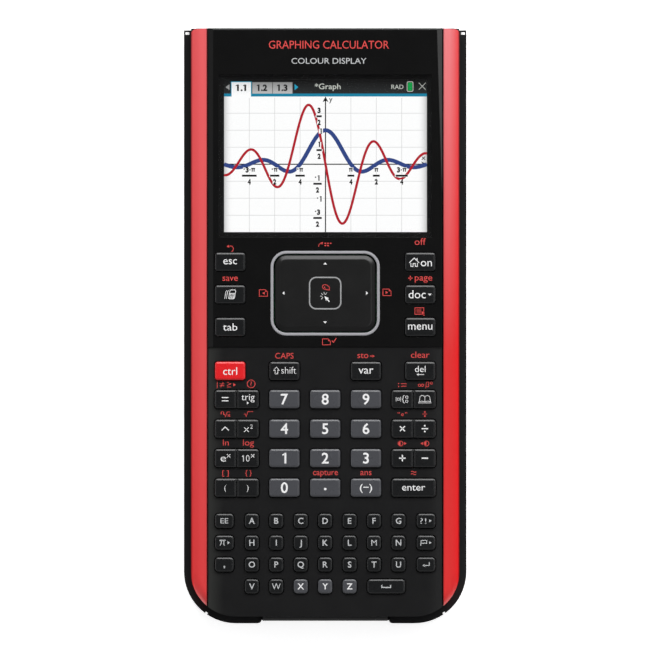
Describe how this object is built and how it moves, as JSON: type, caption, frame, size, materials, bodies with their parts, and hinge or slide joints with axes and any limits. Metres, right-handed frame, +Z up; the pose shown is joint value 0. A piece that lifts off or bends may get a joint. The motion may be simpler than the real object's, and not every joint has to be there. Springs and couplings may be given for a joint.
{
  "type": "graphing calculator",
  "caption": "Slim handheld graphing calculator with a colour display, touchpad, full keypad, red side trims and a slide-on case on its back.",
  "frame": {"origin": "under the middle of the whole object, on the surface that it lies on", "axes": "+Z up out of the keypad's face, +Y towards the display end, +X to the user's right"},
  "size_m": [0.0906, 0.1908, 0.0173],
  "materials": {
    "face_black": "fine satin texture",
    "fascia_gloss": "smooth gloss",
    "window_clear": "clear gloss",
    "trim_red": "soft satin",
    "back_black": "fine satin texture",
    "case_black": "fine satin texture",
    "battery_wrap": "smooth film",
    "wire_red": "smooth",
    "board_green": "solder mask",
    "chip_grey": "moulded",
    "membrane_grey": "silicone",
    "display_glass": "lit colour display",
    "frame_steel": "pressed sheet",
    "socket_steel": "pressed sheet",
    "light_pipe": "translucent",
    "connector_black": "moulded, with gilt contacts",
    "foot_rubber": "matt",
    "screw_steel": "zinc plated",
    "button_grey": "moulded",
    "ring_grey": "satin grey",
    "carrier_grey": "moulded",
    "pad_black": "satin",
    "key_black": "fine satin",
    "key_grey": "fine satin",
    "key_red": "fine satin"
  },
  "bodies": {
    "calculator": {"front_housing": "face_black", "upper_fascia": "fascia_gloss", "display_window": "window_clear", "side_trim_left": "trim_red", "side_trim_right": "trim_red", "rear_housing": "back_black", "battery_door": "back_black", "battery_pack": "battery_wrap", "battery_lead": "wire_red", "main_board": "board_green", "board_components": "chip_grey", "keypad_membrane": "membrane_grey", "display_panel": "display_glass", "display_frame": "frame_steel", "usb_socket": "socket_steel", "status_light": "light_pipe", "dock_connector": "connector_black", "rubber_feet": "foot_rubber", "housing_screws": "screw_steel", "battery_door_screws": "screw_steel", "touchpad_trim_ring": "ring_grey"},
    "slide_case": {"slide_case": "case_black"},
    "reset_button": {"reset_button": "button_grey"},
    "touchpad_carrier": {"touchpad_carrier": "carrier_grey"},
    "touchpad_sensor_board": {"touchpad_sensor_board": "board_green"},
    "touchpad_cover": {"touchpad_cover": "pad_black"},
    "key_escape": {"key_escape": "key_black"},
    "key_scratchpad": {"key_scratchpad": "key_black"},
    "key_tab": {"key_tab": "key_black"},
    "key_on": {"key_on": "key_black"},
    "key_document": {"key_document": "key_black"},
    "key_menu": {"key_menu": "key_black"},
    "key_ctrl": {"key_ctrl": "key_red"},
    "key_shift": {"key_shift": "key_black"},
    "key_var": {"key_var": "key_black"},
    "key_delete": {"key_delete": "key_black"},
    "key_equals_trig": {"key_equals_trig": "key_black"},
    "key_power_square": {"key_power_square": "key_black"},
    "key_exponentials": {"key_exponentials": "key_black"},
    "key_brackets": {"key_brackets": "key_black"},
    "key_template_catalog": {"key_template_catalog": "key_black"},
    "key_times_divide": {"key_times_divide": "key_black"},
    "key_plus_minus": {"key_plus_minus": "key_black"},
    "key_enter": {"key_enter": "key_black"},
    "key_7": {"key_7": "key_grey"},
    "key_8": {"key_8": "key_grey"},
    "key_9": {"key_9": "key_grey"},
    "key_4": {"key_4": "key_grey"},
    "key_5": {"key_5": "key_grey"},
    "key_6": {"key_6": "key_grey"},
    "key_1": {"key_1": "key_grey"},
    "key_2": {"key_2": "key_grey"},
    "key_3": {"key_3": "key_grey"},
    "key_0": {"key_0": "key_grey"},
    "key_point": {"key_point": "key_grey"},
    "key_negate": {"key_negate": "key_grey"},
    "letter_keys_row_1": {"letter_keys_row_1": "key_black"},
    "letter_keys_row_2": {"letter_keys_row_2": "key_black"},
    "letter_keys_row_3": {"letter_keys_row_3": "key_black"},
    "letter_keys_row_4": {"letter_keys_row_4": "key_black"}
  },
  "joints": [
    {"name": "slide_case_slide", "type": "slide", "parent": "calculator", "child": "slide_case", "axis": [0, -1, 0], "range_m": [0, 0.19]},
    {"name": "reset_button_press", "type": "slide", "parent": "calculator", "child": "reset_button", "axis": [0, 0, 1], "range_m": [0, 0.0005], "stiffness_N_per_m": 600, "springref_m": -0.0003},
    {"name": "touchpad_press", "type": "slide", "parent": "calculator", "child": "touchpad_carrier", "axis": [0, 0, -1], "range_m": [0, 0.0004], "stiffness_N_per_m": 1500, "springref_m": -0.0003},
    {"name": "touchpad_tilt_up_down", "type": "hinge", "parent": "touchpad_carrier", "child": "touchpad_sensor_board", "pos_m": [0, 0.0105, 0.016], "axis": [1, 0, 0], "range_deg": [-1.5, 1.5], "stiffness_Nm_per_rad": 0.5},
    {"name": "touchpad_tilt_left_right", "type": "hinge", "parent": "touchpad_sensor_board", "child": "touchpad_cover", "pos_m": [0, 0.0105, 0.016], "axis": [0, 1, 0], "range_deg": [-1.5, 1.5], "stiffness_Nm_per_rad": 0.5},
    {"name": "key_escape_press", "type": "slide", "parent": "calculator", "child": "key_escape", "axis": [0, 0, -1], "range_m": [0, 0.0008], "stiffness_N_per_m": 650, "springref_m": -0.0003},
    {"name": "key_scratchpad_press", "type": "slide", "parent": "calculator", "child": "key_scratchpad", "axis": [0, 0, -1], "range_m": [0, 0.0008], "stiffness_N_per_m": 650, "springref_m": -0.0003},
    {"name": "key_tab_press", "type": "slide", "parent": "calculator", "child": "key_tab", "axis": [0, 0, -1], "range_m": [0, 0.0008], "stiffness_N_per_m": 650, "springref_m": -0.0003},
    {"name": "key_on_press", "type": "slide", "parent": "calculator", "child": "key_on", "axis": [0, 0, -1], "range_m": [0, 0.0008], "stiffness_N_per_m": 650, "springref_m": -0.0003},
    {"name": "key_document_press", "type": "slide", "parent": "calculator", "child": "key_document", "axis": [0, 0, -1], "range_m": [0, 0.0008], "stiffness_N_per_m": 650, "springref_m": -0.0003},
    {"name": "key_menu_press", "type": "slide", "parent": "calculator", "child": "key_menu", "axis": [0, 0, -1], "range_m": [0, 0.0008], "stiffness_N_per_m": 650, "springref_m": -0.0003},
    {"name": "key_ctrl_press", "type": "slide", "parent": "calculator", "child": "key_ctrl", "axis": [0, 0, -1], "range_m": [0, 0.0008], "stiffness_N_per_m": 650, "springref_m": -0.0003},
    {"name": "key_shift_press", "type": "slide", "parent": "calculator", "child": "key_shift", "axis": [0, 0, -1], "range_m": [0, 0.0008], "stiffness_N_per_m": 650, "springref_m": -0.0003},
    {"name": "key_var_press", "type": "slide", "parent": "calculator", "child": "key_var", "axis": [0, 0, -1], "range_m": [0, 0.0008], "stiffness_N_per_m": 650, "springref_m": -0.0003},
    {"name": "key_delete_press", "type": "slide", "parent": "calculator", "child": "key_delete", "axis": [0, 0, -1], "range_m": [0, 0.0008], "stiffness_N_per_m": 650, "springref_m": -0.0003},
    {"name": "key_equals_trig_rock", "type": "hinge", "parent": "calculator", "child": "key_equals_trig", "pos_m": [-0.02833, -0.02348, 0.01535], "axis": [0, 1, 0], "range_deg": [-4.5, 4.5], "stiffness_Nm_per_rad": 0.04},
    {"name": "key_power_square_rock", "type": "hinge", "parent": "calculator", "child": "key_power_square", "pos_m": [-0.02833, -0.03293, 0.01535], "axis": [0, 1, 0], "range_deg": [-4.5, 4.5], "stiffness_Nm_per_rad": 0.04},
    {"name": "key_exponentials_rock", "type": "hinge", "parent": "calculator", "child": "key_exponentials", "pos_m": [-0.02833, -0.04238, 0.01535], "axis": [0, 1, 0], "range_deg": [-4.5, 4.5], "stiffness_Nm_per_rad": 0.04},
    {"name": "key_brackets_rock", "type": "hinge", "parent": "calculator", "child": "key_brackets", "pos_m": [-0.02833, -0.05183, 0.01535], "axis": [0, 1, 0], "range_deg": [-4.5, 4.5], "stiffness_Nm_per_rad": 0.04},
    {"name": "key_template_catalog_rock", "type": "hinge", "parent": "calculator", "child": "key_template_catalog", "pos_m": [0.02833, -0.02348, 0.01535], "axis": [0, 1, 0], "range_deg": [-4.5, 4.5], "stiffness_Nm_per_rad": 0.04},
    {"name": "key_times_divide_rock", "type": "hinge", "parent": "calculator", "child": "key_times_divide", "pos_m": [0.02833, -0.03293, 0.01535], "axis": [0, 1, 0], "range_deg": [-4.5, 4.5], "stiffness_Nm_per_rad": 0.04},
    {"name": "key_plus_minus_rock", "type": "hinge", "parent": "calculator", "child": "key_plus_minus", "pos_m": [0.02833, -0.04238, 0.01535], "axis": [0, 1, 0], "range_deg": [-4.5, 4.5], "stiffness_Nm_per_rad": 0.04},
    {"name": "key_enter_press", "type": "slide", "parent": "calculator", "child": "key_enter", "axis": [0, 0, -1], "range_m": [0, 0.0008], "stiffness_N_per_m": 650, "springref_m": -0.0003},
    {"name": "key_7_press", "type": "slide", "parent": "calculator", "child": "key_7", "axis": [0, 0, -1], "range_m": [0, 0.0008], "stiffness_N_per_m": 650, "springref_m": -0.0003},
    {"name": "key_8_press", "type": "slide", "parent": "calculator", "child": "key_8", "axis": [0, 0, -1], "range_m": [0, 0.0008], "stiffness_N_per_m": 650, "springref_m": -0.0003},
    {"name": "key_9_press", "type": "slide", "parent": "calculator", "child": "key_9", "axis": [0, 0, -1], "range_m": [0, 0.0008], "stiffness_N_per_m": 650, "springref_m": -0.0003},
    {"name": "key_4_press", "type": "slide", "parent": "calculator", "child": "key_4", "axis": [0, 0, -1], "range_m": [0, 0.0008], "stiffness_N_per_m": 650, "springref_m": -0.0003},
    {"name": "key_5_press", "type": "slide", "parent": "calculator", "child": "key_5", "axis": [0, 0, -1], "range_m": [0, 0.0008], "stiffness_N_per_m": 650, "springref_m": -0.0003},
    {"name": "key_6_press", "type": "slide", "parent": "calculator", "child": "key_6", "axis": [0, 0, -1], "range_m": [0, 0.0008], "stiffness_N_per_m": 650, "springref_m": -0.0003},
    {"name": "key_1_press", "type": "slide", "parent": "calculator", "child": "key_1", "axis": [0, 0, -1], "range_m": [0, 0.0008], "stiffness_N_per_m": 650, "springref_m": -0.0003},
    {"name": "key_2_press", "type": "slide", "parent": "calculator", "child": "key_2", "axis": [0, 0, -1], "range_m": [0, 0.0008], "stiffness_N_per_m": 650, "springref_m": -0.0003},
    {"name": "key_3_press", "type": "slide", "parent": "calculator", "child": "key_3", "axis": [0, 0, -1], "range_m": [0, 0.0008], "stiffness_N_per_m": 650, "springref_m": -0.0003},
    {"name": "key_0_press", "type": "slide", "parent": "calculator", "child": "key_0", "axis": [0, 0, -1], "range_m": [0, 0.0008], "stiffness_N_per_m": 650, "springref_m": -0.0003},
    {"name": "key_point_press", "type": "slide", "parent": "calculator", "child": "key_point", "axis": [0, 0, -1], "range_m": [0, 0.0008], "stiffness_N_per_m": 650, "springref_m": -0.0003},
    {"name": "key_negate_press", "type": "slide", "parent": "calculator", "child": "key_negate", "axis": [0, 0, -1], "range_m": [0, 0.0008], "stiffness_N_per_m": 650, "springref_m": -0.0003},
    {"name": "letter_keys_row_1_press", "type": "slide", "parent": "calculator", "child": "letter_keys_row_1", "axis": [0, 0, -1], "range_m": [0, 0.0008], "stiffness_N_per_m": 1500, "springref_m": -0.0003},
    {"name": "letter_keys_row_2_press", "type": "slide", "parent": "calculator", "child": "letter_keys_row_2", "axis": [0, 0, -1], "range_m": [0, 0.0008], "stiffness_N_per_m": 1500, "springref_m": -0.0003},
    {"name": "letter_keys_row_3_press", "type": "slide", "parent": "calculator", "child": "letter_keys_row_3", "axis": [0, 0, -1], "range_m": [0, 0.0008], "stiffness_N_per_m": 1500, "springref_m": -0.0003},
    {"name": "letter_keys_row_4_press", "type": "slide", "parent": "calculator", "child": "letter_keys_row_4", "axis": [0, 0, -1], "range_m": [0, 0.0008], "stiffness_N_per_m": 1500, "springref_m": -0.0003}
  ]
}
